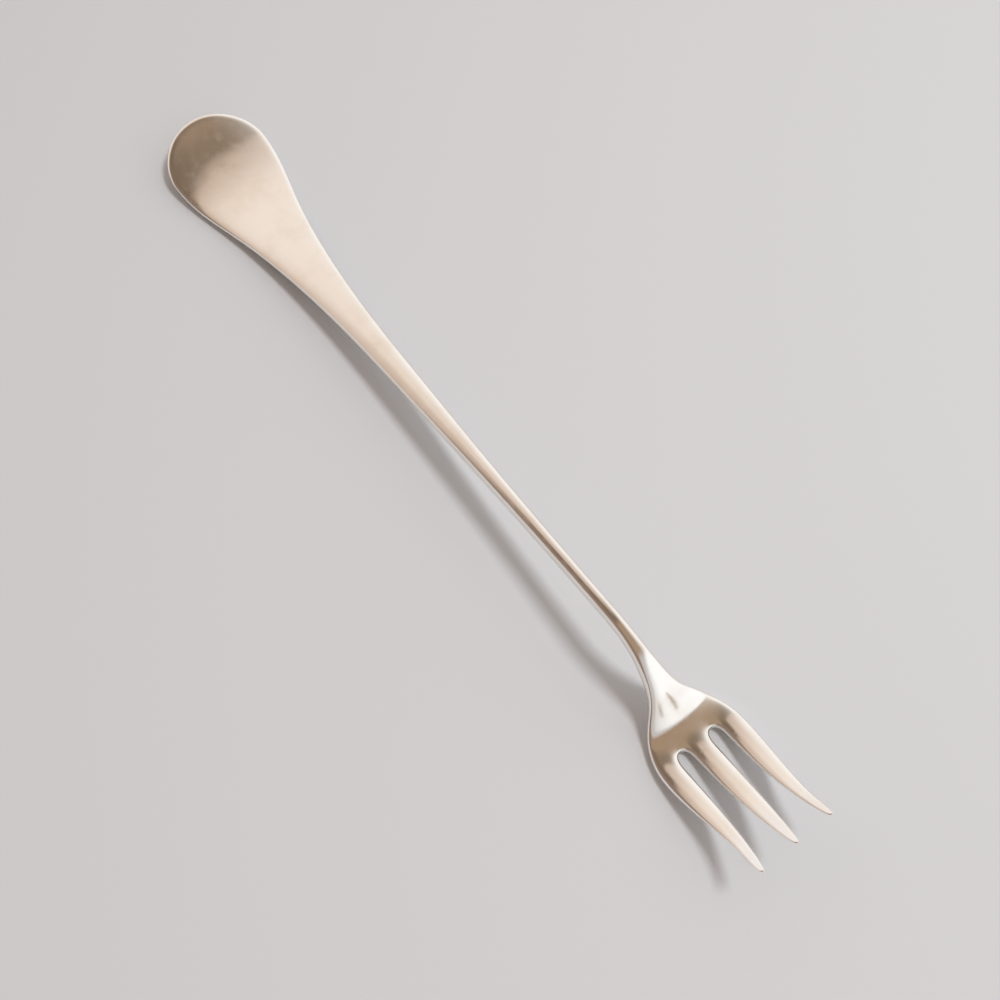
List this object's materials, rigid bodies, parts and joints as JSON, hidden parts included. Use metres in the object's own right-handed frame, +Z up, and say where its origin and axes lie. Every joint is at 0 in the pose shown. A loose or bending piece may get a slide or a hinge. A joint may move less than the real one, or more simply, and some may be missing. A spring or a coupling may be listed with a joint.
{
  "type": "oyster fork",
  "caption": "Slim one-piece silver seafood fork with short tapered tines, an arched stem and a flat rounded handle.",
  "frame": {"origin": "on the table under the middle of the fork's length and width, the fork lying face up", "axes": "+X along the fork from the handle to the points of the tines, +Y to the left seen from the handle, +Z up"},
  "size_m": [0.139, 0.0168, 0.0102],
  "materials": {
    "silver": "polished silver, softly worn, with fine hairlines from use"
  },
  "bodies": {
    "root": {"handle": "silver", "stem": "silver", "neck": "silver", "palm": "silver", "tine_left": "silver", "tine_middle": "silver", "tine_right": "silver"}
  },
  "joints": []
}
